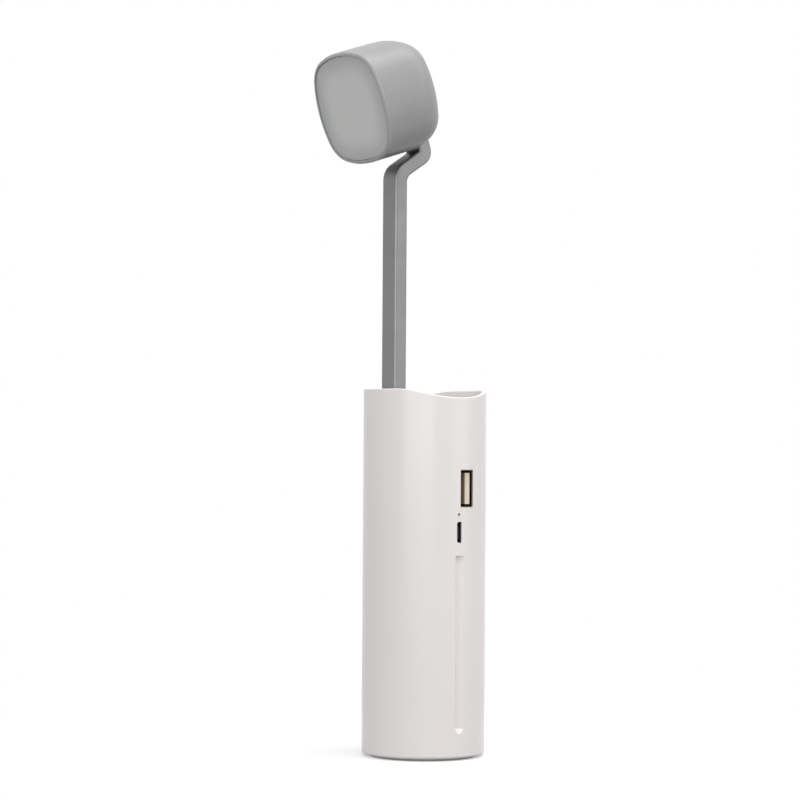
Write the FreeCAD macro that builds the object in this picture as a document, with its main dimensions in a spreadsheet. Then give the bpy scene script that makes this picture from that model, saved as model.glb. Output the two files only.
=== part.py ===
import FreeCAD, Part
import math
import operator
import os
import Sketcher

# Portable desk lamp: a round tube body with an open scooped top, a bent bar that slides down into it,
# and a squircle head that tilts on the end of the bar.
# The lamp stands on the XY plane with its body axis on Z, its head faces -Y and its sockets face +X.

# Driving dimensions in millimetres and degrees.
SIZES = {
    # General fits
    "overrun": 1.0,
    "fit_gap": 0.05,
    "panel_gap": 0.15,
    "slide_gap": 0.3,
    # Tube body
    "body_diameter": 44.4,
    "body_height": 132.0,
    "shell_wall": 1.8,
    "seam_gap": 0.03,
    "foot_gap": 0.8,
    "base_edge_radius": 1.0,
    "ledge_width": 1.0,
    "ledge_height": 1.2,
    "scoop_depth": 3.0,
    "scoop_half_width": 17.8,
    "scoop_blend_radius": 12.0,
    "rim_edge_radius": 0.4,
    # Groove down the seam
    "groove_width": 4.2,
    "groove_depth": 1.0,
    "groove_low": 9.6,
    "groove_gap": 4.6,
    "groove_taper": 1.8,
    # Ribs on the rear wall of the open top
    "rib_spacing": 11.3,
    "rib_width": 1.0,
    "rib_height": 1.4,
    "rib_drop": 2.0,
    # Screws and their bosses
    "boss_diameter": 6.4,
    "boss_height": 8.2,
    "boss_angle": 33.0,
    "boss_overlap": 0.08,
    "screw_diameter": 2.0,
    "screw_length": 6.0,
    "screw_head_diameter": 3.8,
    "screw_head_height": 1.4,
    "screw_socket_diameter": 1.4,
    "screw_socket_depth": 0.7,
    # Base plate and foot
    "base_plate_thickness": 3.4,
    "foot_pad_margin": 0.8,
    "foot_pad_thickness": 1.2,
    "foot_pad_radius": 0.4,
    # Deck that floors the open top
    "deck_thickness": 2.6,
    # Bent bar
    "arm_width": 8.6,
    "arm_thickness": 5.3,
    "bend_rise": 76.2,
    "bend_slope": 33.0,
    "bend_run": 11.5,
    "arm_top_length": 17.35,
    "arm_edge_radius": 0.9,
    "low_bend_inner_radius": 3.6,
    "low_bend_outer_radius": 7.0,
    "high_bend_inner_radius": 1.5,
    "high_bend_outer_radius": 5.2,
    "channel_width": 3.0,
    "channel_depth": 2.2,
    "channel_cover": 1.6,
    "channel_end_gap": 5.0,
    "lead_width": 2.4,
    "lead_thickness": 1.4,
    # Guide, brake and slider
    "guide_wall": 1.4,
    "guide_foot": 2.0,
    "guide_rise": 12.0,
    "guide_flange": 0.5,
    "guide_clearance": 0.6,
    "guide_flange_thickness": 1.4,
    "brake_width": 4.6,
    "brake_height": 6.8,
    "brake_drop": 2.6,
    "brake_gap": 0.1,
    "spring_margin": 0.9,
    "spring_thickness": 0.4,
    "shoe_wall": 1.2,
    "shoe_height": 8.0,
    # Battery and cradle
    "cell_diameter": 18.3,
    "cell_length": 65.2,
    "cell_edge_radius": 0.8,
    "cell_button_diameter": 6.0,
    "cell_button_height": 0.9,
    "cell_setback": 3.5,
    "cradle_wall": 1.4,
    "cradle_opening": 3.0,
    "contact_thickness": 0.5,
    "contact_width": 8.0,
    # Board
    "board_thickness": 1.0,
    "board_gap": 0.3,
    "board_inset": 2.9,
    "board_far_inset": 3.6,
    "rail_depth": 3.4,
    "rail_width": 1.5,
    "rail_margin": 3.5,
    # Output socket
    "usb_a_opening_width": 6.0,
    "usb_a_opening_height": 13.4,
    "usb_a_clearance": 0.1,
    "usb_a_headroom": 0.1,
    "usb_a_sheet": 0.35,
    "usb_a_depth": 13.6,
    "usb_a_recess": 0.9,
    "usb_a_tongue_width": 2.0,
    "usb_a_tongue_height": 11.1,
    "usb_a_tongue_recess": 0.3,
    "usb_a_tongue_offset": 0.8,
    "usb_a_plug_block": 2.0,
    # Charging socket
    "micro_opening_width": 2.0,
    "micro_opening_height": 7.5,
    "micro_corner_radius": 0.9,
    "micro_margin": 2.8,
    "micro_offset": 0.45,
    "micro_sheet": 0.2,
    "micro_recess": 0.4,
    "micro_depth": 6.4,
    "micro_tongue_width": 0.6,
    "micro_tongue_height": 4.4,
    "micro_tongue_recess": 0.6,
    "micro_plug_block": 1.0,
    # Indicator light pipe
    "socket_spacing": 5.1,
    "indicator_diameter": 1.0,
    "indicator_offset": 0.6,
    "indicator_recess": 0.6,
    "indicator_flange_diameter": 1.8,
    "indicator_flange_thickness": 0.5,
    # Head
    "head_height": 40.6,
    "head_extra_width": 2.0,
    "head_corner_radius": 11.5,
    "head_bow_radius": 35.5,
    "head_depth": 27.9,
    "head_pitch": 18.0,
    "head_wall": 1.4,
    "head_back_wall": 2.2,
    "head_front_radius": 1.2,
    "head_rear_radius": 11.0,
    "arm_flush": 0.8,
    "pivot_drop": 8.0,
    "slot_side_gap": 0.5,
    "slot_front_gap": 0.7,
    "slot_top_gap": 2.4,
    "slot_wall": 1.5,
    "lead_hole_diameter": 2.4,
    "lead_hole_drop": 6.5,
    # Head hinge
    "pin_diameter": 2.0,
    "pin_gap": 0.05,
    "pin_boss_diameter": 5.4,
    "pin_boss_length": 3.0,
    "washer_diameter": 5.0,
    "washer_thickness": 0.35,
    # Light source
    "diffuser_thickness": 2.8,
    "diffuser_recess": 0.4,
    "diffuser_gap": 0.08,
    "diffuser_edge_radius": 0.15,
    "reflector_wall": 2.4,
    "reflector_height": 5.6,
    "reflector_taper": 12.0,
    "led_board_thickness": 1.6,
    "led_pitch": 7.2,
    "led_side": 3.0,
    "led_height": 0.7,
    "post_diameter": 4.4,
    # Switch on the back of the head
    "button_diameter": 8.0,
    "button_gap": 0.2,
    "button_height": 13.0,
    "button_proud": 0.9,
    "button_edge_radius": 0.4,
    "button_travel": 0.6,
    "button_flange_diameter": 10.0,
    "button_flange_thickness": 0.8,
    "button_stem_diameter": 3.0,
    "button_stem_length": 0.8,
    "switch_side": 6.0,
    "switch_thickness": 1.4,
    "switch_plunger_diameter": 3.0,
    "switch_plunger_height": 0.4,
    "switch_board_thickness": 1.2,
    "switch_board_height": 12.0,
}

LED_ROWS = 4
MATCH_SHARE = 0.02

document = FreeCAD.newDocument("portable_desk_lamp")
sheet = document.addObject("Spreadsheet::Sheet", "Sizes")
for row, (alias, number) in enumerate(SIZES.items(), start=1):
    sheet.set(f"A{row}", str(number))
    sheet.setAlias(f"A{row}", alias)
document.recompute()

nodes = {}


class Size:
    """A number together with the sheet expression that gives it."""

    def __init__(self, value, text):
        self.value = value
        self.text = text

    def __add__(self, other):
        return combine(self, "+", other)

    def __radd__(self, other):
        return combine(other, "+", self)

    def __sub__(self, other):
        return combine(self, "-", other)

    def __rsub__(self, other):
        return combine(other, "-", self)

    def __mul__(self, other):
        return combine(self, "*", other)

    def __rmul__(self, other):
        return combine(other, "*", self)

    def __truediv__(self, other):
        return combine(self, "/", other)

    def __neg__(self):
        return combine(0, "-", self)


OPERATIONS = {"+": operator.add, "-": operator.sub, "*": operator.mul, "/": operator.truediv}


def as_size(item):
    return item if isinstance(item, Size) else Size(float(item), str(item))


def combine(left, sign, right):
    left = as_size(left)
    right = as_size(right)
    return Size(OPERATIONS[sign](left.value, right.value), f"({left.text} {sign} {right.text})")


def sine(angle):
    return Size(math.sin(math.radians(angle.value)), f"sin({angle.text})")


def cosine(angle):
    return Size(math.cos(math.radians(angle.value)), f"cos({angle.text})")


def root(item):
    return Size(math.sqrt(item.value), f"sqrt({item.text})")


class SheetSizes:
    """Gives each named cell of the sheet as a Size."""

    def __getattr__(self, name):
        return Size(SIZES[name], f"Sizes.{name}")


s = SheetSizes()


def bind(item, prop, size):
    item.setExpression(prop, as_size(size).text)


# Sketches, pads and pockets

def new_body(label):
    body = document.addObject("PartDesign::Body", label)
    body.Label = label
    return body


def origin_plane(body, role):
    return next(plane for plane in body.Origin.OriginFeatures if plane.Role == role)


def disc(x, y, diameter):
    return ("disc", as_size(x), as_size(y), as_size(diameter))


def loop(*corners):
    """A closed outline: (x, y) for a straight run to a corner, (x, y, radius) for an arc to it.

    A positive radius turns left and a negative one turns right.
    """
    return [tuple(as_size(item) for item in corner) for corner in corners]


def rectangle(x_low, y_low, x_high, y_high):
    return loop((x_low, y_low), (x_high, y_low), (x_high, y_high), (x_low, y_high))


def box_about(x, y, width, height):
    return rectangle(x - width / 2, y - height / 2, x + width / 2, y + height / 2)


def arc_between(start, finish, radius):
    """The minor arc that turns left from start to finish."""
    chord = finish - start
    middle = (start + finish) * 0.5
    reach = math.sqrt(max(radius ** 2 - (chord.Length / 2) ** 2, 0.0))
    left = FreeCAD.Vector(-chord.y, chord.x, 0).normalize()
    centre = middle + left * reach
    angles = [math.atan2(point.y - centre.y, point.x - centre.x) for point in (start, finish)]
    return Part.ArcOfCircle(Part.Circle(centre, FreeCAD.Vector(0, 0, 1), radius), *angles)


def fix_point(sketch, geometry, end, x, y):
    for kind, size in (("DistanceX", x), ("DistanceY", y)):
        index = sketch.addConstraint(Sketcher.Constraint(kind, -1, 1, geometry, end, size.value))
        bind(sketch, f"Constraints[{index}]", size)


def draw_disc(sketch, x, y, diameter):
    centre = FreeCAD.Vector(x.value, y.value, 0)
    circle = Part.Circle(centre, FreeCAD.Vector(0, 0, 1), diameter.value / 2)
    geometry = sketch.addGeometry(circle, False)
    index = sketch.addConstraint(Sketcher.Constraint("Diameter", geometry, diameter.value))
    bind(sketch, f"Constraints[{index}]", diameter)
    fix_point(sketch, geometry, 3, x, y)


def draw_run(sketch, start, finish, radius):
    """Adds one run of an outline and returns the ends at its start and finish."""
    if radius is None:
        sketch.addGeometry(Part.LineSegment(start, finish), False)
        return 1, 2
    if radius.value > 0:
        sketch.addGeometry(arc_between(start, finish, radius.value), False)
        return 1, 2
    sketch.addGeometry(arc_between(finish, start, -radius.value), False)
    return 2, 1


def draw_loop(sketch, corners):
    first = sketch.GeometryCount
    count = len(corners)
    points = [FreeCAD.Vector(corner[0].value, corner[1].value, 0) for corner in corners]
    radii = [corner[2] if len(corner) > 2 else None for corner in corners]
    following = [(index + 1) % count for index in range(count)]
    ends = [draw_run(sketch, points[index], points[after], radii[after])
            for index, after in enumerate(following)]
    for index, after in enumerate(following):
        meeting = (first + index, ends[index][1], first + after, ends[after][0])
        sketch.addConstraint(Sketcher.Constraint("Coincident", *meeting))
    for index, after in enumerate(following):
        fix_point(sketch, first + index, ends[index][0], corners[index][0], corners[index][1])
        if radii[after]:
            radius = radii[after] if radii[after].value > 0 else -radii[after]
            place = sketch.addConstraint(Sketcher.Constraint("Radius", first + index, radius.value))
            bind(sketch, f"Constraints[{place}]", radius)


def draw(body, role, outlines, level):
    sketch = body.newObject("Sketcher::SketchObject", f"{body.Label}_sketch")
    sketch.AttachmentSupport = [(origin_plane(body, role), "")]
    sketch.MapMode = "FlatFace"
    bind(sketch, "AttachmentOffset.Base.z", level)
    for outline in outlines:
        if outline[0] == "disc":
            draw_disc(sketch, *outline[1:])
        else:
            draw_loop(sketch, outline)
    return sketch


def check_change(body, before, cut):
    document.recompute()
    after = body.Shape.Volume
    changed = after < before if cut else after > before
    if not changed:
        raise RuntimeError(f"{body.Label}: a feature changed nothing")


def volume_of(body):
    return 0.0 if body.Tip is None else body.Shape.Volume


def prism(body, role, outlines, low, high, cut=False):
    """A pad, or a pocket if cut, between two levels along the plane's world axis."""
    before = volume_of(body)
    level = -high if role == "XZ_Plane" else low
    sketch = draw(body, role, outlines, level)
    feature = body.newObject("PartDesign::Pocket" if cut else "PartDesign::Pad", f"{body.Label}_prism")
    feature.Profile = sketch
    bind(feature, "Length", high - low)
    feature.Reversed = cut
    check_change(body, before, cut)
    return feature


def taper_cut(body, role, low_outline, low, high_outline, high):
    """A pocket that changes evenly from one outline to another."""
    before = volume_of(body)
    feature = body.newObject("PartDesign::SubtractiveLoft", f"{body.Label}_taper")
    feature.Profile = draw(body, role, [low_outline], low)
    feature.Sections = [draw(body, role, [high_outline], high)]
    feature.Ruled = True
    check_change(body, before, True)


def revolve(body, outlines):
    before = volume_of(body)
    sketch = draw(body, "XZ_Plane", outlines, 0)
    feature = body.newObject("PartDesign::Revolution", f"{body.Label}_turned")
    feature.Profile = sketch
    feature.ReferenceAxis = (sketch, ["V_Axis"])
    check_change(body, before, False)
    return feature


def round_edges(body, radius, chosen):
    base = body.Tip
    names = [f"Edge{index}" for index, edge in enumerate(base.Shape.Edges, start=1) if chosen(edge)]
    if not names:
        raise RuntimeError(f"{body.Label}: no edge to round")
    feature = body.newObject("PartDesign::Fillet", f"{body.Label}_round")
    feature.Base = (base, names)
    bind(feature, "Radius", radius)
    document.recompute()
    if "Invalid" in feature.State:
        raise RuntimeError(f"{body.Label}: an edge can't be rounded by {as_size(radius).value}")
    return feature


def match(left, right):
    """True where two places agree, within a small share of the bar's thickness."""
    return abs(left - as_size(right).value) < MATCH_SHARE * SIZES["arm_thickness"]


def edge_at(axis, place):
    """Chooses edges that lie wholly at one place along an axis."""
    return lambda edge: all(match(getattr(vertex.Point, axis), place) for vertex in edge.Vertexes)


def keep(item, label, placed=None):
    item.Label = label
    if placed:
        placed(item)
    nodes[label] = item
    return item


# Solids of revolution and groups of loose solids

def cylinder(label, diameter, height, x, y, z, turn=None):
    item = document.addObject("Part::Cylinder", label)
    bind(item, "Radius", diameter / 2)
    bind(item, "Height", height)
    if turn:
        item.Placement = FreeCAD.Placement(FreeCAD.Vector(), turn)
    bind(item, "Placement.Base.x", x)
    bind(item, "Placement.Base.y", y)
    bind(item, "Placement.Base.z", z)
    return item


def block(label, x_low, x_high, y_low, y_high, z_low, z_high):
    item = document.addObject("Part::Box", label)
    bind(item, "Length", x_high - x_low)
    bind(item, "Width", y_high - y_low)
    bind(item, "Height", z_high - z_low)
    bind(item, "Placement.Base.x", x_low)
    bind(item, "Placement.Base.y", y_low)
    bind(item, "Placement.Base.z", z_low)
    return item


def fuse(label, pieces):
    item = document.addObject("Part::MultiFuse", label)
    item.Shapes = pieces
    return item


def common(label, pieces):
    item = document.addObject("Part::MultiCommon", label)
    item.Shapes = pieces
    return item


def cut_from(label, base, tool):
    item = document.addObject("Part::Cut", label)
    item.Base = base
    item.Tool = tool
    return item


def group(label, pieces):
    item = document.addObject("Part::Compound", label)
    item.Links = pieces
    return item


UPWARD = FreeCAD.Rotation()
BACKWARD = FreeCAD.Rotation(FreeCAD.Vector(1, 0, 0), -90)
SIDEWAYS = FreeCAD.Rotation(FreeCAD.Vector(0, 1, 0), 90)
DOWNWARD = FreeCAD.Rotation(FreeCAD.Vector(1, 0, 0), 180)


def screw(label, x, y, z, turn, length):
    """A pan-head screw whose head starts at the given place, with its shank along the turned Z axis."""
    way = turn.multVec(FreeCAD.Vector(0, 0, 1))

    def along(distance):
        return [place + distance * round(part) for place, part in zip((x, y, z), way)]

    head = cylinder(f"{label}_head", s.screw_head_diameter, s.screw_head_height, x, y, z, turn)
    shank = cylinder(f"{label}_shank", s.screw_diameter, length, *along(s.screw_head_height), turn)
    recess = cylinder(f"{label}_recess", s.screw_socket_diameter, s.screw_socket_depth, x, y, z, turn)
    return cut_from(label, fuse(f"{label}_solid", [head, shank]), recess)


# Places in the body

body_radius = s.body_diameter / 2
inner_radius = body_radius - s.shell_wall
plate_top = s.foot_gap + s.base_plate_thickness
cell_bottom = plate_top + s.cradle_wall + s.contact_thickness + s.fit_gap
cell_top = cell_bottom + s.cell_length + s.cell_button_height
cradle_top = cell_top + s.fit_gap + s.contact_thickness + s.cradle_wall
board_low = cradle_top + s.board_gap
micro_low = board_low + s.micro_margin
micro_high = micro_low + s.micro_opening_height
micro_centre = (micro_low + micro_high) / 2
usb_a_low = micro_high + s.socket_spacing
usb_a_high = usb_a_low + s.usb_a_opening_height
usb_a_centre = (usb_a_low + usb_a_high) / 2
indicator_centre = (micro_high + usb_a_low) / 2
deck_bottom = usb_a_high + s.usb_a_headroom
board_high = deck_bottom - s.board_gap
deck_top = deck_bottom + s.deck_thickness
boss_reach = inner_radius + s.boss_overlap - s.boss_diameter / 2
boss_x = boss_reach * cosine(s.boss_angle)
boss_y = boss_reach * sine(s.boss_angle)
boss_bore = s.screw_diameter + s.fit_gap * 2
head_bore = s.screw_head_diameter + s.panel_gap * 2
board_right = body_radius - s.board_inset
board_left = s.board_far_inset - body_radius
board_front = -s.board_thickness
micro_middle = -s.micro_offset
micro_front = body_radius - s.micro_recess


def boss_places(side):
    return [(boss_x * across, boss_y * side) for across in (-1, 1)]


ALL_BOSSES = boss_places(-1) + boss_places(1)


# Half shells of the tube body

def wall_section():
    edge = s.base_edge_radius
    return loop(
        (inner_radius, s.foot_gap),
        (body_radius - edge, s.foot_gap),
        (body_radius, s.foot_gap + edge, edge),
        (body_radius, s.body_height),
        (inner_radius, s.body_height),
        (inner_radius, plate_top + s.ledge_height),
        (inner_radius - s.ledge_width, plate_top + s.ledge_height),
        (inner_radius - s.ledge_width, plate_top),
        (inner_radius, plate_top),
    )


def scoop_section():
    """A shallow arc across the rim, blended into the level rim by a rounding on each side."""
    half = s.scoop_half_width
    blend = s.scoop_blend_radius
    radius = (half * half + s.scoop_depth * s.scoop_depth) / (s.scoop_depth * 2)
    reach = radius + blend
    drop = reach - s.scoop_depth
    rim_y = root(reach * reach - drop * drop)
    share = radius / reach
    low_y = rim_y * share
    low_z = s.body_height - s.scoop_depth + radius - drop * share
    rim = s.body_height
    top = rim + s.overrun
    return loop((-rim_y, rim), (-low_y, low_z, -blend), (low_y, low_z, radius), (rim_y, rim, -blend),
                (rim_y, top), (-rim_y, top))


def micro_section(inset):
    """The charging socket's opening, with two round corners, drawn smaller by the inset."""
    front = micro_middle - s.micro_opening_width / 2 + inset
    rear = micro_middle + s.micro_opening_width / 2 - inset
    low = micro_low + inset
    high = micro_high - inset
    corner = s.micro_corner_radius - inset
    return loop(
        (front + corner, low, corner),
        (rear, low),
        (rear, high),
        (front + corner, high),
        (front, high - corner, corner),
        (front, low + corner),
    )


def half_shell(label, side):
    body = new_body(label)
    revolve(body, [wall_section()])
    reach = body_radius + s.overrun
    near = s.seam_gap / 2
    low, high = (-near, reach) if side < 0 else (-reach, near)
    other_half = rectangle(-reach, low, reach, high)
    prism(body, "XY_Plane", [other_half], s.foot_gap - s.overrun, s.body_height + s.overrun, cut=True)
    prism(body, "YZ_Plane", [scoop_section()], -reach, reach, cut=True)
    add_bosses(body, side)
    add_rail(body, side)
    cut_socket_side(body, side)
    round_edges(body, s.rim_edge_radius, rim_edge)
    return body


def rim_edge(edge):
    """The edges along the top of the wall, apart from those at the seam."""
    low = s.body_height - s.scoop_depth - s.overrun
    above = all(vertex.Point.z > low.value for vertex in edge.Vertexes)
    radii = [math.hypot(vertex.Point.x, vertex.Point.y) for vertex in edge.Vertexes]
    along = any(all(match(radius, wall) for radius in radii) for wall in (body_radius, inner_radius))
    return above and along


def add_bosses(body, side):
    posts = [disc(x, y, s.boss_diameter) for x, y in boss_places(side)]
    bores = [disc(x, y, boss_bore) for x, y in boss_places(side)]
    for low, high in ((plate_top, plate_top + s.boss_height), (deck_bottom - s.boss_height, deck_bottom)):
        prism(body, "XY_Plane", posts, low, high)
        prism(body, "XY_Plane", bores, low, high, cut=True)


def add_rail(body, side):
    """The rail that holds the board's far edge, one lip on each half."""
    wall = s.shell_wall / 2 - body_radius
    tip = board_left + s.rail_depth
    face = s.fit_gap if side > 0 else board_front - s.fit_gap
    low, high = (face, face + s.rail_width) if side > 0 else (face - s.rail_width, face)
    margin = s.rail_margin
    prism(body, "XY_Plane", [rectangle(wall, low, tip, high)], board_low + margin, board_high - margin)


def cut_socket_side(body, side):
    inside = inner_radius - s.ledge_width * 2
    outside = body_radius + s.overrun
    prism(body, "YZ_Plane", [micro_section(as_size(0))], inside, outside, cut=True)
    half = s.groove_width / 2
    groove_radius = (half * half + s.groove_depth * s.groove_depth) / (s.groove_depth * 2)
    full = disc(body_radius - s.groove_depth + groove_radius, 0, groove_radius * 2)
    touching = disc(body_radius + groove_radius, 0, groove_radius * 2)
    shoulder = s.groove_low + s.groove_taper
    prism(body, "XY_Plane", [full], shoulder, micro_low - s.groove_gap, cut=True)
    taper_cut(body, "XY_Plane", touching, s.groove_low, full, shoulder)


def front_shell():
    body = half_shell("front_shell", -1)
    hole = disc(-s.indicator_offset, indicator_centre, s.indicator_diameter)
    inside = inner_radius - s.ledge_width
    prism(body, "YZ_Plane", [hole], inside, body_radius + s.overrun, cut=True)
    keep(body, "front_shell")


def rear_shell():
    body = half_shell("rear_shell", 1)
    opening = rectangle(0, usb_a_low, s.usb_a_opening_width, usb_a_high)
    inside = inner_radius - s.ledge_width * 2
    prism(body, "YZ_Plane", [opening], inside, body_radius + s.overrun, cut=True)
    root_y = body_radius - s.shell_wall / 2
    tip_y = inner_radius - s.rib_height
    ribs = [box_about(s.rib_spacing / 2 * across, (root_y + tip_y) / 2, s.rib_width, root_y - tip_y)
            for across in (-1, 1)]
    prism(body, "XY_Plane", ribs, deck_top, s.body_height - s.rib_drop)
    keep(body, "rear_shell")


# Base plate, foot and deck

def bored_plate(body, low, high, head_low, head_high):
    """Bores a plate for the four screws, with a seat for each head."""
    bores = [disc(x, y, boss_bore) for x, y in ALL_BOSSES]
    seats = [disc(x, y, head_bore) for x, y in ALL_BOSSES]
    prism(body, "XY_Plane", bores, low - s.overrun, high + s.overrun, cut=True)
    prism(body, "XY_Plane", seats, head_low, head_high, cut=True)


plate_diameter = (inner_radius - s.panel_gap) * 2
foot_pad_diameter = (inner_radius - s.foot_pad_margin) * 2
base_head_top = s.foot_pad_thickness + s.screw_head_height + s.fit_gap


def base_plate():
    body = new_body("base_plate")
    prism(body, "XY_Plane", [disc(0, 0, plate_diameter)], s.foot_gap, plate_top)
    recess = disc(0, 0, foot_pad_diameter + s.panel_gap * 2)
    prism(body, "XY_Plane", [recess], s.foot_gap - s.overrun, s.foot_pad_thickness, cut=True)
    bored_plate(body, s.foot_gap, plate_top, s.foot_gap, base_head_top)
    keep(body, "base_plate")


def foot_pad():
    body = new_body("foot_pad")
    prism(body, "XY_Plane", [disc(0, 0, foot_pad_diameter)], 0, s.foot_pad_thickness)
    round_edges(body, s.foot_pad_radius, edge_at("z", 0))
    keep(body, "foot_pad")


def base_screws():
    head = base_head_top - s.screw_head_height
    screws = [screw(f"base_screw_{index}", x, y, head, UPWARD, s.screw_length)
              for index, (x, y) in enumerate(ALL_BOSSES)]
    keep(group("base_screws", screws), "base_screws")


def deck():
    body = new_body("deck")
    prism(body, "XY_Plane", [disc(0, 0, plate_diameter)], deck_bottom, deck_top)
    hole = box_about(as_size(0), arm_y, guide_width + s.panel_gap * 2, guide_length + s.panel_gap * 2)
    prism(body, "XY_Plane", [hole], deck_bottom - s.overrun, deck_top + s.overrun, cut=True)
    bored_plate(body, deck_bottom, deck_top, deck_top - s.screw_head_height - s.fit_gap, deck_top + s.overrun)
    keep(body, "deck")


def deck_screws():
    screws = [screw(f"deck_screw_{index}", x, y, deck_top - s.fit_gap, DOWNWARD, s.screw_length)
              for index, (x, y) in enumerate(ALL_BOSSES)]
    keep(group("deck_screws", screws), "deck_screws")


# Bent bar

guide_width = s.arm_width + (s.slide_gap + s.guide_wall) * 2
guide_length = s.arm_thickness + (s.slide_gap + s.guide_wall) * 2
guide_reach = inner_radius - s.guide_clearance
flange_half = guide_width / 2 + s.guide_flange
guide_flange_front = -root(guide_reach * guide_reach - flange_half * flange_half)
arm_y = guide_flange_front + s.guide_flange + guide_length / 2
arm_rear = arm_y + s.arm_thickness / 2
arm_front = arm_y - s.arm_thickness / 2
front_wall = s.arm_thickness - s.channel_cover - s.channel_depth
brake_low = deck_bottom - s.brake_drop - s.brake_height
guide_low = brake_low - s.guide_foot
shoe_top = guide_low - s.slide_gap
shoe_middle = shoe_top - s.shoe_height / 2
arm_bottom = shoe_top - s.shoe_height
bend_sine = sine(s.bend_slope)
bend_cosine = cosine(s.bend_slope)
lean_sine = sine(s.head_pitch)
lean_cosine = cosine(s.head_pitch)
bend_height = s.body_height + s.bend_rise
high_bend_y = arm_rear + s.bend_run
high_bend_z = bend_height + s.bend_run * bend_sine / bend_cosine
pivot_y = high_bend_y - s.arm_top_length * lean_sine - s.arm_thickness / 2 * lean_cosine
pivot_z = high_bend_z + s.arm_top_length * lean_cosine - s.arm_thickness / 2 * lean_sine


def arm_line(depth, low, top_length):
    """The bar's side line at a depth from its rear face: foot, low bend, high bend and top."""
    turn = 1 + sine(s.bend_slope - s.head_pitch)
    return [
        (arm_rear - depth, low),
        (arm_rear - depth, bend_height + depth * bend_cosine / (1 + bend_sine)),
        (high_bend_y - depth * (bend_sine + lean_cosine) / turn,
         high_bend_z + depth * (bend_cosine - lean_sine) / turn),
        (high_bend_y - top_length * lean_sine - depth * lean_cosine,
         high_bend_z + top_length * lean_cosine - depth * lean_sine),
    ]


def arm_band(near, far, low, top_length):
    """The closed outline between two depths of the bar."""
    return loop(*arm_line(near, low, top_length), *reversed(arm_line(far, low, top_length)))


def corner_edge(point):
    at_y = edge_at("y", point[0])
    at_z = edge_at("z", point[1])
    return lambda edge: at_y(edge) and at_z(edge)


def long_edge(edge):
    """Edges of the bar's two side faces, apart from its foot."""
    at_side = any(edge_at("x", s.arm_width / 2 * side)(edge) for side in (-1, 1))
    return at_side and not edge_at("z", arm_bottom)(edge)


def arm_bar():
    body = new_body("arm_bar")
    half = s.arm_width / 2
    flat = as_size(0)
    outline = arm_band(flat, s.arm_thickness, arm_bottom, s.arm_top_length)
    prism(body, "YZ_Plane", [outline], -half, half)
    rear = arm_line(flat, arm_bottom, s.arm_top_length)
    front = arm_line(s.arm_thickness, arm_bottom, s.arm_top_length)
    round_edges(body, s.low_bend_inner_radius, corner_edge(rear[1]))
    round_edges(body, s.high_bend_outer_radius, corner_edge(rear[2]))
    round_edges(body, s.low_bend_outer_radius, corner_edge(front[1]))
    round_edges(body, s.high_bend_inner_radius, corner_edge(front[2]))
    prism(body, "YZ_Plane", [disc(pivot_y, pivot_z, s.arm_thickness)], -half, half)
    round_edges(body, s.arm_edge_radius, long_edge)
    channel = arm_band(s.channel_cover, s.channel_cover + s.channel_depth,
                       arm_bottom - s.overrun, s.arm_top_length - s.channel_end_gap)
    prism(body, "YZ_Plane", [channel], -s.channel_width / 2, s.channel_width / 2, cut=True)
    eye = disc(pivot_y, pivot_z, s.pin_diameter + s.pin_gap * 2)
    prism(body, "YZ_Plane", [eye], -half - s.overrun, half + s.overrun, cut=True)
    hole = disc(0, shoe_middle, boss_bore)
    prism(body, "XZ_Plane", [hole], arm_front - s.overrun, arm_front + front_wall, cut=True)
    keep(body, "arm_bar")


def arm_lead():
    body = new_body("arm_lead")
    near = s.channel_cover + (s.channel_depth - s.lead_thickness) / 2
    top_length = s.arm_top_length - s.channel_end_gap - s.slide_gap
    outline = arm_band(near, near + s.lead_thickness, arm_bottom, top_length)
    prism(body, "YZ_Plane", [outline], -s.lead_width / 2, s.lead_width / 2)
    keep(body, "arm_lead")


# Guide, brake and slider

guide_rear = arm_y + guide_length / 2
shoe_front = arm_front - s.shoe_wall


def arm_guide():
    body = new_body("arm_guide")
    middle = as_size(0)
    outer = box_about(middle, arm_y, guide_width, guide_length)
    bore = box_about(middle, arm_y, s.arm_width + s.slide_gap * 2, s.arm_thickness + s.slide_gap * 2)
    prism(body, "XY_Plane", [outer, bore], guide_low, deck_top + s.guide_rise)
    flange = box_about(middle, arm_y, guide_width + s.guide_flange * 2, guide_length + s.guide_flange * 2)
    prism(body, "XY_Plane", [flange, bore], deck_top, deck_top + s.guide_flange_thickness)
    gap = s.fit_gap
    window = rectangle(-s.brake_width / 2 - gap, brake_low - gap,
                       s.brake_width / 2 + gap, brake_low + s.brake_height + gap)
    prism(body, "XZ_Plane", [window], arm_y, guide_rear + s.overrun, cut=True)
    keep(body, "arm_guide")


def friction_pad():
    face = rectangle(-s.brake_width / 2, brake_low, s.brake_width / 2, brake_low + s.brake_height)
    body = new_body("friction_pad")
    prism(body, "XZ_Plane", [face], arm_rear + s.brake_gap, guide_rear)
    keep(body, "friction_pad")


def friction_spring():
    body = new_body("friction_spring")
    edge = s.spring_margin
    face = rectangle(-s.brake_width / 2 - edge, brake_low - edge,
                     s.brake_width / 2 + edge, brake_low + s.brake_height + edge)
    prism(body, "XZ_Plane", [face], guide_rear, guide_rear + s.spring_thickness)
    keep(body, "friction_spring")


def slider_shoe():
    body = new_body("slider_shoe")
    middle = as_size(0)
    outer = box_about(middle, arm_y, s.arm_width + s.shoe_wall * 2, s.arm_thickness + s.shoe_wall * 2)
    bore = box_about(middle, arm_y, s.arm_width + s.fit_gap * 2, s.arm_thickness + s.fit_gap * 2)
    prism(body, "XY_Plane", [outer, bore], arm_bottom, shoe_top)
    hole = disc(0, shoe_middle, head_bore)
    prism(body, "XZ_Plane", [hole], shoe_front - s.overrun, arm_front, cut=True)
    keep(body, "slider_shoe")


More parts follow.
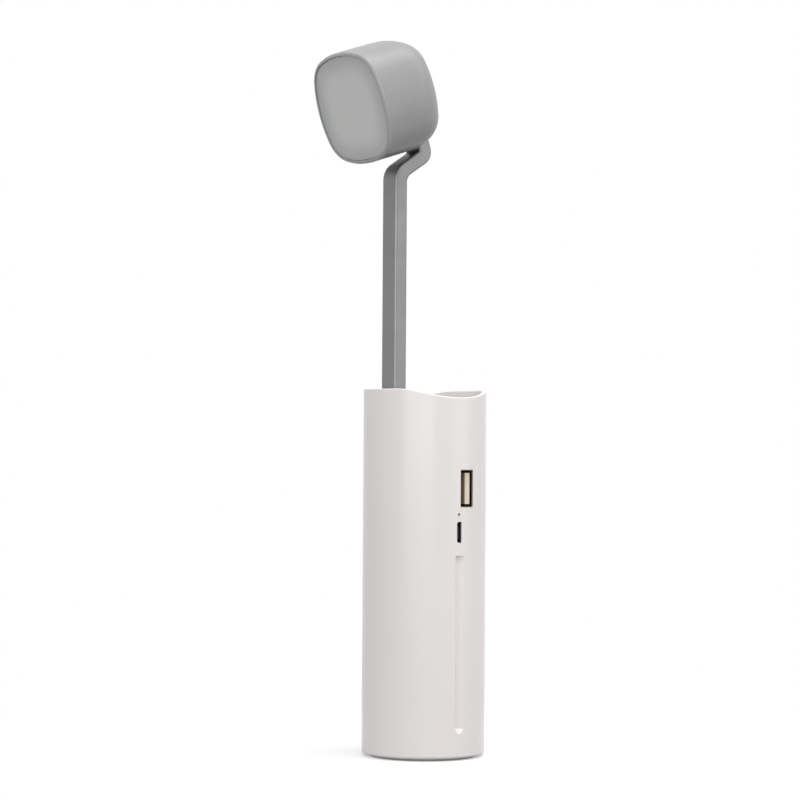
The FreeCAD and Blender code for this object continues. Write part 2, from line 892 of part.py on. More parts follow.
def shoe_screw():
    """The screw's head fills the hole in the shoe and its shank grips the bar's front wall."""
    head = arm_front - s.screw_head_height
    keep(screw("shoe_screw", as_size(0), head, shoe_middle, BACKWARD, front_wall), "shoe_screw")


# Battery

def battery_cell():
    body = new_body("battery_cell")
    can = disc(0, s.cell_setback, s.cell_diameter)
    prism(body, "XY_Plane", [can], cell_bottom, cell_bottom + s.cell_length)
    round_edges(body, s.cell_edge_radius, lambda edge: edge.Closed)
    button = disc(0, s.cell_setback, s.cell_button_diameter)
    prism(body, "XY_Plane", [button], cell_bottom + s.cell_length, cell_top)
    keep(body, "battery_cell")


def battery_cradle():
    body = new_body("battery_cradle")
    half = s.cell_diameter / 2 + s.panel_gap + s.cradle_wall
    outline = rectangle(-half, s.cell_setback - half, half, s.cell_setback + s.cradle_opening)
    prism(body, "XY_Plane", [outline], plate_top, cradle_top)
    bed = disc(0, s.cell_setback, s.cell_diameter + s.panel_gap * 2)
    prism(body, "XY_Plane", [bed], plate_top + s.cradle_wall, cradle_top - s.cradle_wall, cut=True)
    keep(body, "battery_cradle")


def battery_contacts():
    half = s.contact_width / 2
    y = s.cell_setback
    low = plate_top + s.cradle_wall
    high = cradle_top - s.cradle_wall - s.contact_thickness
    plates = []
    for name, level in (("low", low), ("high", high)):
        plates.append(block(f"contact_{name}", -half, half, y - half, y + s.cradle_opening,
                            level, level + s.contact_thickness))
    keep(group("battery_contacts", plates), "battery_contacts")


# Board and sockets

def main_board():
    body = new_body("main_board")
    gap = s.panel_gap
    notch_low = micro_low - gap
    notch_high = micro_high + gap
    notch_x = micro_front - s.micro_depth - gap
    outline = loop(
        (board_left, board_low),
        (board_right, board_low),
        (board_right, notch_low),
        (notch_x, notch_low),
        (notch_x, notch_high),
        (board_right, notch_high),
        (board_right, board_high),
        (board_left, board_high),
    )
    prism(body, "XZ_Plane", [outline], board_front, as_size(0))
    keep(body, "main_board")


# Each component's middle, width and height are shares of the board's size.
# Its thickness is a share of its own height.
COMPONENT_SHARES = [
    (0.42, 0.38, 0.20, 0.25, 0.45),
    (0.66, 0.62, 0.14, 0.15, 0.28),
    (0.22, 0.30, 0.09, 0.18, 0.30),
    (0.24, 0.62, 0.12, 0.12, 0.35),
]


def board_components():
    width = board_right - board_left
    height = board_high - board_low
    chips = []
    for index, (x_share, z_share, width_share, height_share, thick_share) in enumerate(COMPONENT_SHARES):
        x = board_left + width * x_share
        z = board_low + height * z_share
        half_x = width * width_share / 2
        half_z = height * height_share / 2
        front = board_front - half_z * 2 * thick_share
        chips.append(block(f"chip_{index}", x - half_x, x + half_x, front, board_front,
                           z - half_z, z + half_z))
    keep(group("board_components", chips), "board_components")


usb_a_front = body_radius - s.usb_a_recess
usb_a_outer_width = s.usb_a_opening_width - s.usb_a_clearance * 2
usb_a_outer_height = s.usb_a_opening_height - s.usb_a_clearance
usb_a_y = usb_a_outer_width / 2


def usb_a_shell():
    body = new_body("usb_a_shell")
    outer = box_about(usb_a_y, usb_a_centre, usb_a_outer_width, usb_a_outer_height)
    inner = box_about(usb_a_y, usb_a_centre, usb_a_outer_width - s.usb_a_sheet * 2,
                      usb_a_outer_height - s.usb_a_sheet * 2)
    prism(body, "YZ_Plane", [outer, inner], usb_a_front - s.usb_a_depth, usb_a_front)
    keep(body, "usb_a_shell")


def usb_a_tongue():
    body = new_body("usb_a_tongue")
    back = usb_a_front - s.usb_a_depth
    around = (s.usb_a_sheet + s.fit_gap) * 2
    plug = box_about(usb_a_y, usb_a_centre, usb_a_outer_width - around, usb_a_outer_height - around)
    prism(body, "YZ_Plane", [plug], back, back + s.usb_a_plug_block)
    tongue_y = usb_a_y + s.usb_a_tongue_offset
    tongue = box_about(tongue_y, usb_a_centre, s.usb_a_tongue_width, s.usb_a_tongue_height)
    prism(body, "YZ_Plane", [tongue], back, usb_a_front - s.usb_a_tongue_recess)
    keep(body, "usb_a_tongue")


def micro_usb_shell():
    body = new_body("micro_usb_shell")
    outer = micro_section(s.fit_gap)
    inner = micro_section(s.fit_gap + s.micro_sheet)
    prism(body, "YZ_Plane", [outer, inner], micro_front - s.micro_depth, micro_front)
    keep(body, "micro_usb_shell")


def micro_usb_tongue():
    body = new_body("micro_usb_tongue")
    back = micro_front - s.micro_depth
    plug = micro_section(s.micro_sheet + s.fit_gap * 2)
    prism(body, "YZ_Plane", [plug], back, back + s.micro_plug_block)
    tongue = box_about(micro_middle, micro_centre, s.micro_tongue_width, s.micro_tongue_height)
    prism(body, "YZ_Plane", [tongue], back, micro_front - s.micro_tongue_recess)
    keep(body, "micro_usb_tongue")


def indicator_pipe():
    body = new_body("indicator_pipe")
    back = board_right + s.fit_gap
    flange = disc(-s.indicator_offset, indicator_centre, s.indicator_flange_diameter)
    prism(body, "YZ_Plane", [flange], back, back + s.indicator_flange_thickness)
    pipe = disc(-s.indicator_offset, indicator_centre, s.indicator_diameter - s.fit_gap * 2)
    prism(body, "YZ_Plane", [pipe], back, body_radius - s.indicator_recess)
    keep(body, "indicator_pipe")


# Head, modelled upright about its hinge axis and then pitched

head_half = s.head_height / 2
head_middle = s.pivot_drop
head_back = s.arm_thickness / 2 + s.arm_flush
head_front = head_back - s.head_depth
head_inner_back = head_back - s.head_back_wall
slot_half = s.arm_width / 2 + s.slot_side_gap
slot_front = -s.arm_thickness / 2 - s.slot_front_gap
slot_top = s.arm_thickness / 2 + s.slot_top_gap
block_half = slot_half + s.slot_wall
block_front = slot_front - s.slot_wall
block_top = slot_top + s.slot_wall
head_bottom = head_middle - head_half
diffuser_front = head_front + s.diffuser_recess
diffuser_back = diffuser_front + s.diffuser_thickness
led_face = diffuser_back + s.reflector_height
led_back = led_face + s.led_board_thickness
post_offset = s.led_pitch


def place_head(item):
    pitch = FreeCAD.Rotation(FreeCAD.Vector(1, 0, 0), s.head_pitch.value)
    item.Placement = FreeCAD.Placement(FreeCAD.Vector(), pitch)
    bind(item, "Placement.Rotation.Angle", s.head_pitch)
    bind(item, "Placement.Base.y", pivot_y)
    bind(item, "Placement.Base.z", pivot_z)


def squircle(inset):
    """A square with bowed sides and round corners, widened at its middle and drawn smaller by the inset."""
    bow = s.head_bow_radius
    corner = s.head_corner_radius
    offset = bow - head_half
    span = bow - corner
    centre = (root(span * span * 2 - offset * offset) - offset) / 2
    bow_radius = bow - inset
    corner_radius = corner - inset
    near = bow_radius * centre / span
    far = bow_radius * (centre + offset) / span - offset
    level = head_half - inset
    shift = s.head_extra_width / 2
    side = far + shift
    edge = near + shift
    corners = [
        (side, -near, corner_radius),
        (side, near, bow_radius),
        (edge, far, corner_radius),
        (shift, level, bow_radius),
        (-shift, level),
        (-edge, far, bow_radius),
        (-side, near, corner_radius),
        (-side, -near, bow_radius),
        (-edge, -far, corner_radius),
        (-shift, -level, bow_radius),
        (shift, -level),
        (edge, -far, bow_radius),
    ]
    return loop(*[(x, head_middle + z, *arc) for x, z, *arc in corners])


def head_solid(label, inset, front, back, rear_radius):
    body = new_body(label)
    prism(body, "XZ_Plane", [squircle(inset)], front, back)
    round_edges(body, rear_radius, edge_at("y", back))
    return body


def slot_body(label, half, front, back, top):
    body = new_body(label)
    outline = rectangle(-half, head_bottom - s.overrun, half, top)
    prism(body, "XZ_Plane", [outline], front, back)
    return body


def post_places():
    return [(post_offset * across, head_middle + post_offset * up) for up in (-1, 1) for across in (-1, 1)]


def head_housing():
    outer = head_solid("housing_outside", as_size(0), head_front, head_back, s.head_rear_radius)
    round_edges(outer, s.head_front_radius, edge_at("y", head_front))
    inner = head_solid("housing_inside", s.head_wall, head_front - s.overrun, head_inner_back,
                       s.head_rear_radius - s.head_wall)
    cup = cut_from("housing_cup", outer, inner)
    slot_block = slot_body("slot_block", block_half, block_front, head_back + s.overrun, block_top)
    posts = new_body("housing_posts")
    prism(posts, "XZ_Plane", [disc(x, z, s.post_diameter) for x, z in post_places()], led_back, head_back)
    pin_half = slot_half + s.pin_boss_length
    pin_boss = new_body("pin_boss")
    prism(pin_boss, "YZ_Plane", [disc(0, 0, s.pin_boss_diameter)], -pin_half, pin_half)
    added = fuse("housing_added", [slot_block, posts, pin_boss])
    limit = head_solid("housing_limit", as_size(0), head_front, head_back, s.head_rear_radius)
    solid = fuse("housing_solid", [cup, common("housing_trimmed", [added, limit])])
    tools = [slot_body("slot", slot_half, slot_front, head_back + s.overrun, slot_top)]
    tools += [cylinder(f"post_bore_{index}", boss_bore, s.screw_length, x, led_back, z, BACKWARD)
              for index, (x, z) in enumerate(post_places())]
    tools.append(cylinder("pin_bore", s.pin_diameter + s.fit_gap, pin_half * 2, -pin_half, 0, 0, SIDEWAYS))
    tools.append(cylinder("button_bore", s.button_diameter + s.button_gap * 2,
                          s.head_back_wall + s.overrun * 2,
                          as_size(0), head_inner_back - s.overrun, s.button_height, BACKWARD))
    tools.append(cylinder("lead_bore", s.lead_hole_diameter, s.slot_wall + s.overrun * 2,
                          as_size(0), block_front - s.overrun, -s.lead_hole_drop, BACKWARD))
    housing = cut_from("head_housing", solid, fuse("housing_tools", tools))
    keep(housing, "head_housing", place_head)


def diffuser():
    body = new_body("diffuser")
    prism(body, "XZ_Plane", [squircle(s.head_wall + s.diffuser_gap)], diffuser_front, diffuser_back)
    round_edges(body, s.diffuser_edge_radius, edge_at("y", diffuser_front))
    keep(body, "diffuser", place_head)


def reflector():
    """A white frame between the board and the diffuser, its opening wider at the diffuser."""
    body = new_body("reflector")
    edge = s.head_wall + s.diffuser_gap
    prism(body, "XZ_Plane", [squircle(edge)], diffuser_back, led_face)
    opening = prism(body, "XZ_Plane", [squircle(edge + s.reflector_wall)], diffuser_back, led_face, cut=True)
    bind(opening, "TaperAngle", s.reflector_taper)
    keep(body, "reflector", place_head)


def led_board():
    body = new_body("led_board")
    prism(body, "XZ_Plane", [squircle(s.head_wall + s.diffuser_gap)], led_face, led_back)
    bores = [disc(x, z, boss_bore) for x, z in post_places()]
    prism(body, "XZ_Plane", bores, led_face - s.overrun, led_back + s.overrun, cut=True)
    keep(body, "led_board", place_head)


def led_chips():
    half = s.led_side / 2
    chips = []
    for row in range(LED_ROWS):
        for column in range(LED_ROWS):
            x = s.led_pitch * (column - (LED_ROWS - 1) / 2)
            z = head_middle + s.led_pitch * (row - (LED_ROWS - 1) / 2)
            chips.append(block(f"led_{row}_{column}", x - half, x + half, led_face - s.led_height, led_face,
                               z - half, z + half))
    keep(group("led_chips", chips), "led_chips", place_head)


def led_screws():
    head = led_face - s.screw_head_height
    length = s.led_board_thickness + s.screw_length / 2
    screws = [screw(f"led_screw_{index}", x, head, z, BACKWARD, length)
              for index, (x, z) in enumerate(post_places())]
    keep(group("led_screws", screws), "led_screws", place_head)


def hinge_pin():
    half = slot_half + s.pin_boss_length
    pin = cylinder("pin_rod", s.pin_diameter, half * 2, -half, 0, 0, SIDEWAYS)
    keep(group("hinge_pin", [pin]), "hinge_pin", place_head)


def hinge_washers():
    """A thin friction washer on each side of the bar's eye."""
    washers = []
    for name, side in (("left", -1), ("right", 1)):
        body = new_body(f"washer_{name}")
        ring = [disc(0, 0, s.washer_diameter), disc(0, 0, s.pin_diameter + s.fit_gap * 2)]
        outer = (slot_half - s.fit_gap) * side
        inner = (slot_half - s.fit_gap - s.washer_thickness) * side
        low, high = (outer, inner) if side < 0 else (inner, outer)
        prism(body, "YZ_Plane", ring, low, high)
        washers.append(body)
    keep(group("hinge_washers", washers), "hinge_washers", place_head)


# Switch on the back of the head

button_face = head_back + s.button_proud
flange_back = head_inner_back - s.fit_gap
flange_front = flange_back - s.button_flange_thickness
stem_front = flange_front - s.button_stem_length
plunger_back = stem_front - s.button_travel - s.fit_gap * 2
switch_back = plunger_back - s.switch_plunger_height
switch_front = switch_back - s.switch_thickness


def switch_button():
    body = new_body("switch_button")
    z = s.button_height
    prism(body, "XZ_Plane", [disc(0, z, s.button_diameter)], flange_front, button_face)
    round_edges(body, s.button_edge_radius, edge_at("y", button_face))
    prism(body, "XZ_Plane", [disc(0, z, s.button_flange_diameter)], flange_front, flange_back)
    prism(body, "XZ_Plane", [disc(0, z, s.button_stem_diameter)], stem_front, flange_front)
    keep(body, "switch_button", place_head)


def switch_block():
    body = new_body("switch_block")
    case = box_about(as_size(0), s.button_height, s.switch_side, s.switch_side)
    prism(body, "XZ_Plane", [case], switch_front, switch_back)
    prism(body, "XZ_Plane", [disc(0, s.button_height, s.switch_plunger_diameter)], switch_back, plunger_back)
    keep(body, "switch_block", place_head)


def switch_board():
    body = new_body("switch_board")
    half = post_offset - s.post_diameter / 2 - s.slide_gap
    face = rectangle(-half, block_top, half, block_top + s.switch_board_height)
    prism(body, "XZ_Plane", [face], switch_front - s.switch_board_thickness, switch_front)
    keep(body, "switch_board", place_head)


PIECES = [
    front_shell, rear_shell, base_plate, foot_pad, base_screws, deck, deck_screws,
    arm_guide, friction_pad, friction_spring, battery_cell, battery_cradle, battery_contacts,
    main_board, board_components, usb_a_shell, usb_a_tongue, micro_usb_shell, micro_usb_tongue,
    indicator_pipe,
    arm_bar, arm_lead, slider_shoe, shoe_screw,
    head_housing, diffuser, reflector, led_board, led_chips, led_screws, hinge_pin, hinge_washers,
    switch_button, switch_block, switch_board,
]


def check_document():
    for item in document.Objects:
        if "Invalid" in item.State or "Error" in item.State:
            raise RuntimeError(f"{item.Label} failed: {item.State}")
    for label, item in nodes.items():
        if item.Shape.isNull() or not item.Shape.isValid():
            raise RuntimeError(f"{label} has no valid shape")


def main():
    for piece in PIECES:
        piece()
    document.recompute()
    check_document()
    os.makedirs("parts", exist_ok=True)
    for label, item in nodes.items():
        item.Shape.exportStep(f"parts/{label}.step")


main()
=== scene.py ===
import math
from collections import namedtuple

import bpy
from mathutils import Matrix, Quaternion, Vector


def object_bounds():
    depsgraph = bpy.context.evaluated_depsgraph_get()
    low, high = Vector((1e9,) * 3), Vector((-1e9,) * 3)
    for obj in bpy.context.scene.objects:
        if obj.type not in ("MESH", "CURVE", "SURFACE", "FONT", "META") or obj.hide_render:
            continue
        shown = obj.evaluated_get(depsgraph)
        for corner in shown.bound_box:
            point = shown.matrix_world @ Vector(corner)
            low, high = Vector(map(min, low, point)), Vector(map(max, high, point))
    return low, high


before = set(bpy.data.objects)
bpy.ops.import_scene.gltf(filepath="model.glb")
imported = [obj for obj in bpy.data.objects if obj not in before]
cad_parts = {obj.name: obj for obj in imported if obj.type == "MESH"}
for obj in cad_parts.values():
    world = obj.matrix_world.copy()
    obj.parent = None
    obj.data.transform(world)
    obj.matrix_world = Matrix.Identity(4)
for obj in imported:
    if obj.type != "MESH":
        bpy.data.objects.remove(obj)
cad_low, cad_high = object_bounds()

# Camera, fitted to the photograph: pixels of its square frame, degrees and metres
FRAME_PIXELS = 800
FOCAL_PIXELS = 2622
AXIS_PIXEL = (425.04, 442.0)
SENSOR_MM = 36.0
CAMERA_AZIMUTH = 54.5
CAMERA_DISTANCE = 0.950
CAMERA_HEIGHT = 0.113
CAMERA_ROLL = 0.376

# Lamps round the middle of the object: degrees, metres and watts
Lamp = namedtuple("Lamp", "azimuth elevation distance wide tall power")
LAMPS = {
    "top": Lamp(azimuth=75.0, elevation=76.0, distance=1.0, wide=0.8, tall=0.8, power=5.5),
    "rear": Lamp(azimuth=140.0, elevation=52.0, distance=1.1, wide=0.7, tall=0.7, power=3.4),
    "side": Lamp(azimuth=127.0, elevation=13.0, distance=1.2, wide=0.7, tall=0.7, power=1.8),
    "front": Lamp(azimuth=44.0, elevation=8.0, distance=1.2, wide=1.3, tall=0.45, power=5.6),
}

# World: its strength as light on the object, while what is seen of it is plain white
WHITE = (1.0, 1.0, 1.0, 1.0)
WORLD_LIGHT = 0.74
WORLD_SEEN = 1.0

# Floor: half its side, its shader's values, its grey as light on the object and as seen, and the
# distances between which its glow rises to plain white
FLOOR_HALF = 3.0
FLOOR_SHADER = {"Roughness": 0.9, "Specular IOR Level": 0.0}
FLOOR_BOUNCE = 0.19
FLOOR_SEEN = 0.95
FLOOR_NEAR = 0.09
FLOOR_FAR = 0.20
FLOOR_GLOW = 0.45

# Noise: cells per metre and levels of detail, and the middle part of its range that is used
Noise = namedtuple("Noise", "scale detail")
NOISE_RANGE = (0.3, 0.7)

# Grain: the noise behind colour, roughness and relief, and the depth of the relief in metres
Grain = namedtuple("Grain", "colour roughness relief depth")
SHELL_GRAIN = Grain(Noise(18.0, 2.0), Noise(60.0, 3.0), Noise(2600.0, 2.0), depth=6e-6)
INNER_GRAIN = Grain(Noise(30.0, 2.0), Noise(90.0, 3.0), Noise(2200.0, 2.0), depth=8e-6)
SATIN_GRAIN = Grain(Noise(40.0, 2.0), Noise(120.0, 3.0), Noise(3200.0, 3.0), depth=8e-6)
MILKY_GRAIN = Grain(Noise(25.0, 2.0), Noise(80.0, 3.0), Noise(3000.0, 2.0), depth=5e-6)
DULL_GRAIN = Grain(Noise(90.0, 2.0), Noise(225.0, 3.0), Noise(1800.0, 3.0), depth=1.5e-5)
METAL_GRAIN = Grain(Noise(200.0, 4.0), Noise(900.0, 4.0), Noise(2400.0, 3.0), depth=4e-6)

# Coats: the ends of the colour and of the roughness, the shader's other values and the CAD nodes
Coat = namedtuple("Coat", "grain dark light smooth rough shader nodes")
PLAIN = {}
METALLIC = {"Metallic": 1.0}
COATS = {
    "white_shell": Coat(
        SHELL_GRAIN, dark=(0.738, 0.696, 0.697), light=(0.763, 0.721, 0.722), smooth=0.21, rough=0.27,
        shader={"IOR": 1.5}, nodes=["front_shell", "rear_shell"]),
    "inner_white": Coat(
        INNER_GRAIN, dark=(0.68, 0.66, 0.655), light=(0.71, 0.69, 0.685), smooth=0.5, rough=0.6,
        shader=PLAIN, nodes=["deck", "arm_guide", "base_plate"]),
    "foot_rubber": Coat(
        DULL_GRAIN, dark=(0.50, 0.49, 0.485), light=(0.56, 0.55, 0.545), smooth=0.7, rough=0.85,
        shader=PLAIN, nodes=["foot_pad"]),
    "brake_rubber": Coat(
        DULL_GRAIN, dark=(0.02, 0.02, 0.021), light=(0.035, 0.035, 0.036), smooth=0.7, rough=0.85,
        shader=PLAIN, nodes=["friction_pad", "arm_lead"]),
    "steel": Coat(
        METAL_GRAIN, dark=(0.50, 0.50, 0.51), light=(0.66, 0.66, 0.67), smooth=0.26, rough=0.40,
        shader=METALLIC,
        nodes=["base_screws", "deck_screws", "shoe_screw", "led_screws", "hinge_pin", "hinge_washers",
               "friction_spring"]),
    "black_plastic": Coat(
        DULL_GRAIN, dark=(0.012, 0.012, 0.013), light=(0.022, 0.022, 0.023), smooth=0.45, rough=0.6,
        shader=PLAIN,
        nodes=["battery_cradle", "slider_shoe", "board_components", "micro_usb_shell",
               "micro_usb_tongue", "switch_block"]),
    "cell_wrap": Coat(
        DULL_GRAIN, dark=(0.07, 0.19, 0.37), light=(0.09, 0.23, 0.43), smooth=0.2, rough=0.3,
        shader=PLAIN, nodes=["battery_cell"]),
    "contact_metal": Coat(
        METAL_GRAIN, dark=(0.62, 0.48, 0.22), light=(0.76, 0.62, 0.32), smooth=0.25, rough=0.4,
        shader=METALLIC, nodes=["battery_contacts"]),
    "board_green": Coat(
        DULL_GRAIN, dark=(0.03, 0.15, 0.07), light=(0.05, 0.20, 0.10), smooth=0.3, rough=0.4,
        shader=PLAIN, nodes=["main_board"]),
    "board_white": Coat(
        DULL_GRAIN, dark=(0.74, 0.74, 0.72), light=(0.80, 0.80, 0.78), smooth=0.35, rough=0.45,
        shader=PLAIN, nodes=["led_board", "switch_board"]),
    # Painted shade: the dark brown of the socket shell stands in for the shade inside the socket.
    "socket_metal": Coat(
        METAL_GRAIN, dark=(0.090, 0.062, 0.043), light=(0.135, 0.098, 0.072), smooth=0.3, rough=0.45,
        shader=METALLIC, nodes=["usb_a_shell"]),
    "socket_tongue": Coat(
        DULL_GRAIN, dark=(0.62, 0.53, 0.42), light=(0.70, 0.61, 0.50), smooth=0.45, rough=0.55,
        shader=PLAIN, nodes=["usb_a_tongue"]),
    "light_pipe": Coat(
        DULL_GRAIN, dark=(0.008, 0.008, 0.007), light=(0.014, 0.014, 0.013), smooth=0.4, rough=0.5,
        shader={"Specular IOR Level": 0.1}, nodes=["indicator_pipe"]),
    "arm_grey": Coat(
        SATIN_GRAIN, dark=(0.200, 0.200, 0.201), light=(0.218, 0.218, 0.219), smooth=0.36, rough=0.44,
        shader={"Metallic": 0.75}, nodes=["arm_bar"]),
    "head_grey": Coat(
        SATIN_GRAIN, dark=(0.255, 0.255, 0.256), light=(0.275, 0.275, 0.276), smooth=0.36, rough=0.44,
        shader=PLAIN, nodes=["head_housing", "switch_button"]),
    "milky_diffuser": Coat(
        MILKY_GRAIN, dark=(0.560, 0.560, 0.560), light=(0.588, 0.588, 0.588), smooth=0.38, rough=0.46,
        shader={"IOR": 1.49, "Subsurface Weight": 0.25, "Subsurface Scale": 0.004},
        nodes=["diffuser"]),
    "reflector_white": Coat(
        DULL_GRAIN, dark=(0.80, 0.80, 0.79), light=(0.84, 0.84, 0.83), smooth=0.5, rough=0.6,
        shader=PLAIN, nodes=["reflector"]),
    "led_yellow": Coat(
        DULL_GRAIN, dark=(0.72, 0.58, 0.16), light=(0.82, 0.68, 0.24), smooth=0.3, rough=0.4,
        shader=PLAIN, nodes=["led_chips"]),
}

# Head: its directions at rest, the painted highlight on the rim of its housing and the painted shade
# at the edge of its diffuser
HEAD_PITCH = math.radians(18.0)
HEAD_SIDE = Vector((1.0, 0.0, 0.0))
HEAD_FRONT = Vector((0.0, -math.cos(HEAD_PITCH), -math.sin(HEAD_PITCH)))
HEAD_UP = Vector((0.0, -math.sin(HEAD_PITCH), math.cos(HEAD_PITCH)))
RIM_HIGHLIGHT_COLOUR = (0.33, 0.33, 0.33)
RIM_DEPTH = 0.0012
RIM_BLUR = 0.0003
EDGE_SHADE_COLOUR = (0.43, 0.43, 0.43)
EDGE_POWER = 3.5
EDGE_START = 0.55

# USB-A tongue: the way into the socket, its front end in its own colour and the painted shade, a dark
# brown, on its flanks beyond
TONGUE_WAY = Vector((-1.0, 0.0, 0.0))
TONGUE_UNSHADED_END = 0.0003
TONGUE_BLUR = 0.0003
FLANK_SHADE_COLOUR = (0.38, 0.265, 0.185)


class Wiring:
    """A node tree with helpers to add nodes and join them."""

    def __init__(self, tree):
        self.tree = tree

    def node(self, kind, **settings):
        made = self.tree.nodes.new(kind)
        for name, value in settings.items():
            setattr(made, name, value)
        return made

    def link(self, source, target):
        self.tree.links.new(source, target)

    def feed(self, source, target):
        """Gives an input another node's output or a plain value."""
        if isinstance(source, bpy.types.NodeSocket):
            self.link(source, target)
        else:
            target.default_value = source

    def calc(self, operation, *values):
        """Arithmetic on outputs and plain numbers."""
        made = self.node("ShaderNodeMath", operation=operation)
        for value, target in zip(values, made.inputs):
            self.feed(value, target)
        return made.outputs["Value"]

    def carry(self, value, before=(0.0, 1.0), after=(0.0, 1.0), step="LINEAR"):
        """Carries a value over from one range to another."""
        made = self.node("ShaderNodeMapRange", interpolation_type=step)
        self.link(value, made.inputs["Value"])
        for name, number in zip(("From Min", "From Max", "To Min", "To Max"), (*before, *after)):
            made.inputs[name].default_value = number
        return made.outputs["Result"]

    def seen(self):
        """One for a ray from the camera, a mirror or glass, and zero for light on the object."""
        path = self.node("ShaderNodeLightPath")
        result = path.outputs["Is Camera Ray"]
        for name in ("Is Glossy Ray", "Is Transmission Ray"):
            result = self.calc("MAXIMUM", result, path.outputs[name])
        return result


class Look(Wiring):
    """A material with a Principled shader."""

    def __init__(self, name, values):
        self.material = bpy.data.materials.new(name)
        self.material.use_nodes = True
        super().__init__(self.material.node_tree)
        self.shader = self.tree.nodes["Principled BSDF"]
        self.place = self.node("ShaderNodeTexCoord").outputs["Object"]
        for socket, value in values.items():
            self.shader.inputs[socket].default_value = value

    def noise(self, noise):
        made = self.node("ShaderNodeTexNoise")
        made.inputs["Scale"].default_value = noise.scale
        made.inputs["Detail"].default_value = noise.detail
        self.link(self.place, made.inputs["Vector"])
        return made.outputs["Fac"]

    def mix(self, factor, first, second):
        """A mix of two colours."""
        made = self.node("ShaderNodeMix", data_type="RGBA")
        self.link(factor, made.inputs["Factor"])
        colours = [socket for socket in made.inputs if socket.type == "RGBA"]
        for colour, target in zip((first, second), colours):
            self.feed(colour, target)
        return next(socket for socket in made.outputs if socket.type == "RGBA")

    def shade(self, noise, dark, light):
        """Base colour that drifts between two colours."""
        factor = self.carry(self.noise(noise), NOISE_RANGE)
        self.link(self.mix(factor, (*dark, 1.0), (*light, 1.0)), self.shader.inputs["Base Color"])

    def tint(self, factor, colour):
        """Takes the base colour over to another colour where the factor is one."""
        base = self.shader.inputs["Base Color"]
        self.link(self.mix(factor, base.links[0].from_socket, (*colour, 1.0)), base)

    def gloss(self, noise, smooth, rough):
        """Roughness that drifts between two values."""
        drift = self.carry(self.noise(noise), NOISE_RANGE, (smooth, rough))
        self.link(drift, self.shader.inputs["Roughness"])

    def relief(self, noise, depth):
        """Fine bumps of a depth in metres."""
        made = self.node("ShaderNodeBump")
        made.inputs["Distance"].default_value = depth
        self.link(self.noise(noise), made.inputs["Height"])
        self.link(made.outputs["Normal"], self.shader.inputs["Normal"])

    def along(self, way):
        """The distance of a point from the origin along a direction, in metres."""
        made = self.node("ShaderNodeVectorMath", operation="DOT_PRODUCT")
        self.link(self.place, made.inputs[0])
        made.inputs[1].default_value = way
        return made.outputs["Value"]

    def ramp(self, value, low, high):
        """Zero below low and one above high, with a smooth step between them."""
        return self.carry(value, (low, high), step="SMOOTHSTEP")


# Materials

def reach(node, way):
    """The least and greatest distance of a node's points along a direction."""
    places = [vertex.co.dot(way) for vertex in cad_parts[node].data.vertices]
    return min(places), max(places)


def paint_rim_highlight(look):
    """Painted highlight: the rim of the housing round the diffuser is painted lighter."""
    start = reach("head_housing", HEAD_FRONT)[1] - RIM_DEPTH
    look.tint(look.ramp(look.along(HEAD_FRONT), start, start + RIM_BLUR), RIM_HIGHLIGHT_COLOUR)


def paint_edge_shade(look):
    """Painted shade: the milky sheet is painted darker towards its edge, where the housing is behind
    it.
    """
    powers = []
    for way in (HEAD_SIDE, HEAD_UP):
        low, high = reach("diffuser", way)
        offset = look.calc("SUBTRACT", look.along(way), (low + high) / 2)
        share = look.calc("DIVIDE", look.calc("ABSOLUTE", offset), (high - low) / 2)
        powers.append(look.calc("POWER", share, EDGE_POWER))
    nearness = look.calc("POWER", look.calc("ADD", *powers), 1 / EDGE_POWER)
    look.tint(look.ramp(nearness, EDGE_START, 1.0), EDGE_SHADE_COLOUR)


def paint_flank_shade(look):
    """Painted shade: the tongue keeps its own colour at its front end, and its flanks, deep in the
    socket, are painted dark brown.
    """
    start = reach("usb_a_tongue", TONGUE_WAY)[0] + TONGUE_UNSHADED_END
    look.tint(look.ramp(look.along(TONGUE_WAY), start, start + TONGUE_BLUR), FLANK_SHADE_COLOUR)


def dress():
    """Gives each CAD node its material."""
    touches = {
        "head_grey": paint_rim_highlight,
        "milky_diffuser": paint_edge_shade,
        "socket_tongue": paint_flank_shade,
    }
    for name, coat in COATS.items():
        look = Look(name, coat.shader)
        look.shade(coat.grain.colour, coat.dark, coat.light)
        look.gloss(coat.grain.roughness, coat.smooth, coat.rough)
        look.relief(coat.grain.relief, coat.grain.depth)
        if name in touches:
            touches[name](look)
        for node in coat.nodes:
            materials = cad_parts[node].data.materials
            materials.clear()
            materials.append(look.material)


# Stage, lights and camera

def make_world():
    world = bpy.data.worlds.new("studio")
    bpy.context.scene.world = world
    world.use_nodes = True
    wiring = Wiring(world.node_tree)
    background = wiring.tree.nodes["Background"]
    background.inputs["Color"].default_value = WHITE
    strength = wiring.carry(wiring.seen(), after=(WORLD_LIGHT, WORLD_SEEN))
    wiring.link(strength, background.inputs["Strength"])


def floor_look():
    """Keeps a light shadow near the object and fades to plain white away from it."""
    look = Look("floor", FLOOR_SHADER)
    seen = look.seen()
    look.link(look.carry(seen, after=(FLOOR_BOUNCE, FLOOR_SEEN)), look.shader.inputs["Base Color"])
    distance = look.node("ShaderNodeVectorMath", operation="LENGTH")
    look.link(look.place, distance.inputs[0])
    fade = look.carry(distance.outputs["Value"], (FLOOR_NEAR, FLOOR_FAR), (FLOOR_GLOW, 1.0),
                      step="SMOOTHSTEP")
    glow = look.node("ShaderNodeEmission")
    glow.inputs["Color"].default_value = WHITE
    mix = look.node("ShaderNodeMixShader")
    look.link(look.calc("MULTIPLY", fade, seen), mix.inputs["Fac"])
    look.link(look.shader.outputs["BSDF"], mix.inputs[1])
    look.link(glow.outputs["Emission"], mix.inputs[2])
    look.link(mix.outputs["Shader"], look.tree.nodes["Material Output"].inputs["Surface"])
    return look


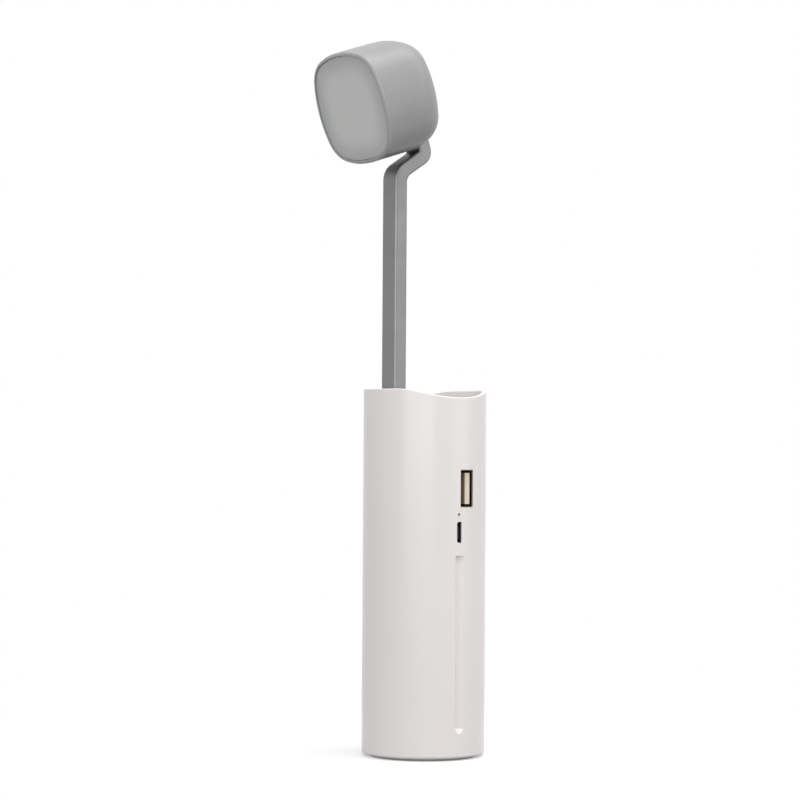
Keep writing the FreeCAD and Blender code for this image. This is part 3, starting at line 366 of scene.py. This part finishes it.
def make_floor():
    mesh = bpy.data.meshes.new("floor")
    half = FLOOR_HALF
    corners = [(-half, -half, 0.0), (half, -half, 0.0), (half, half, 0.0), (-half, half, 0.0)]
    mesh.from_pydata(corners, [], [(0, 1, 2, 3)])
    mesh.materials.append(floor_look().material)
    floor = bpy.data.objects.new("floor", mesh)
    bpy.context.scene.collection.objects.link(floor)


def outward(azimuth, elevation):
    """The direction at an azimuth, from the front towards the sockets, and an elevation."""
    turn, lift = math.radians(azimuth), math.radians(elevation)
    level = math.cos(lift)
    return Vector((math.sin(turn) * level, -math.cos(turn) * level, math.sin(lift)))


def make_lights():
    """Rectangular area lamps that look at the middle of the object."""
    middle = (cad_low + cad_high) / 2
    for name, lamp in LAMPS.items():
        data = bpy.data.lights.new(name, "AREA")
        data.shape = "RECTANGLE"
        data.size = lamp.wide
        data.size_y = lamp.tall
        data.energy = lamp.power
        made = bpy.data.objects.new(name, data)
        bpy.context.scene.collection.objects.link(made)
        way = outward(lamp.azimuth, lamp.elevation)
        made.location = middle + way * lamp.distance
        made.rotation_mode = "QUATERNION"
        made.rotation_quaternion = (-way).to_track_quat("-Z", "Y")


def make_camera():
    """Looks level at the body's axis, then turns so that the axis falls on its pixel."""
    back = outward(CAMERA_AZIMUTH, 0.0)
    data = bpy.data.cameras.new("camera")
    data.sensor_width = SENSOR_MM
    data.lens = SENSOR_MM * FOCAL_PIXELS / FRAME_PIXELS
    camera = bpy.data.objects.new("camera", data)
    bpy.context.scene.collection.objects.link(camera)
    camera.location = back * CAMERA_DISTANCE + Vector((0.0, 0.0, CAMERA_HEIGHT))
    across, down = (math.atan((pixel - FRAME_PIXELS / 2) / FOCAL_PIXELS) for pixel in AXIS_PIXEL)
    aim = (-back).to_track_quat("-Z", "Y")
    aim = aim @ Quaternion((0.0, 1.0, 0.0), across) @ Quaternion((1.0, 0.0, 0.0), down)
    camera.rotation_mode = "QUATERNION"
    camera.rotation_quaternion = aim @ Quaternion((0.0, 0.0, 1.0), math.radians(CAMERA_ROLL))
    bpy.context.scene.camera = camera


dress()
make_world()
make_floor()
make_lights()
make_camera()
bpy.context.scene.view_settings.view_transform = "Standard"
